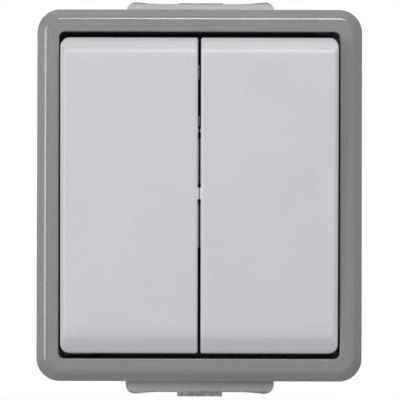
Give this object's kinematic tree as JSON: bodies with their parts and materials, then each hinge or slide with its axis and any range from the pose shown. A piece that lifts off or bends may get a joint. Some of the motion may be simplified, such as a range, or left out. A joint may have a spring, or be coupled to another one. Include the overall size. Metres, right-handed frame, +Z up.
{
  "type": "surface-mounted light switch",
  "caption": "Splash-proof surface-mounted light switch with two tall rockers in a grey frame, cable entries above and below.",
  "frame": {"origin": "middle of the base housing's wall face", "axes": "+Z up, +X to the viewer's right, -Y out of the wall towards the viewer"},
  "size_m": [0.066, 0.0519, 0.0842],
  "materials": {
    "light_grey_plastic": "fine satin moulding",
    "rocker_plastic": "smooth satin moulding",
    "mid_grey_plastic": "fine satin moulding",
    "white_plastic": "matt thermoset",
    "black_rubber": "matt",
    "grey_rubber": "matt",
    "zinc_plated_steel": "bright zinc",
    "spring_steel": "drawn wire",
    "brass": "stamped",
    "silver": "polished contact silver"
  },
  "bodies": {
    "housing": {"base_housing": "light_grey_plastic", "front_frame": "mid_grey_plastic", "frame_gasket": "black_rubber", "inner_seal": "black_rubber", "support_plate": "zinc_plated_steel", "socket_body": "white_plastic", "insert_cover": "white_plastic", "top_cable_entry": "light_grey_plastic", "bottom_cable_entry": "light_grey_plastic", "top_entry_seal": "grey_rubber", "bottom_entry_seal": "grey_rubber", "terminal_clamps": "brass", "terminal_screws": "zinc_plated_steel", "plate_rivets": "zinc_plated_steel", "insert_screws": "zinc_plated_steel", "cover_screws": "zinc_plated_steel", "contact_buttons": "silver", "left_common_strip": "brass", "left_upper_contact_strip": "brass", "left_lower_contact_strip": "brass", "right_common_strip": "brass", "right_upper_contact_strip": "brass", "right_lower_contact_strip": "brass"},
    "left_rocker_body": {"left_rocker": "rocker_plastic", "left_cradle": "white_plastic", "left_plunger": "white_plastic", "left_plunger_spring": "spring_steel"},
    "left_lever_body": {"left_contact_lever": "brass", "left_lever_tips": "silver"},
    "right_rocker_body": {"right_rocker": "rocker_plastic", "right_cradle": "white_plastic", "right_plunger": "white_plastic", "right_plunger_spring": "spring_steel"},
    "right_lever_body": {"right_contact_lever": "brass", "right_lever_tips": "silver"}
  },
  "joints": [
    {"name": "left_rocker_tilt", "type": "hinge", "parent": "housing", "child": "left_rocker_body", "pos_m": [-0.0142, -0.0425, 0], "axis": [1, 0, 0], "range_deg": [-6, 0]},
    {"name": "right_rocker_tilt", "type": "hinge", "parent": "housing", "child": "right_rocker_body", "pos_m": [0.0142, -0.0425, 0], "axis": [1, 0, 0], "range_deg": [-6, 0]},
    {"name": "left_lever_tilt", "type": "hinge", "parent": "housing", "child": "left_lever_body", "pos_m": [-0.0142, -0.0201, 0], "axis": [1, 0, 0], "range_deg": [0, 15]},
    {"name": "right_lever_tilt", "type": "hinge", "parent": "housing", "child": "right_lever_body", "pos_m": [0.0142, -0.0201, 0], "axis": [1, 0, 0], "range_deg": [0, 15]}
  ],
  "couplings": [
    {"joint": "left_lever_tilt", "follows": "left_rocker_tilt", "ratio": -2.5},
    {"joint": "right_lever_tilt", "follows": "right_rocker_tilt", "ratio": -2.5}
  ]
}
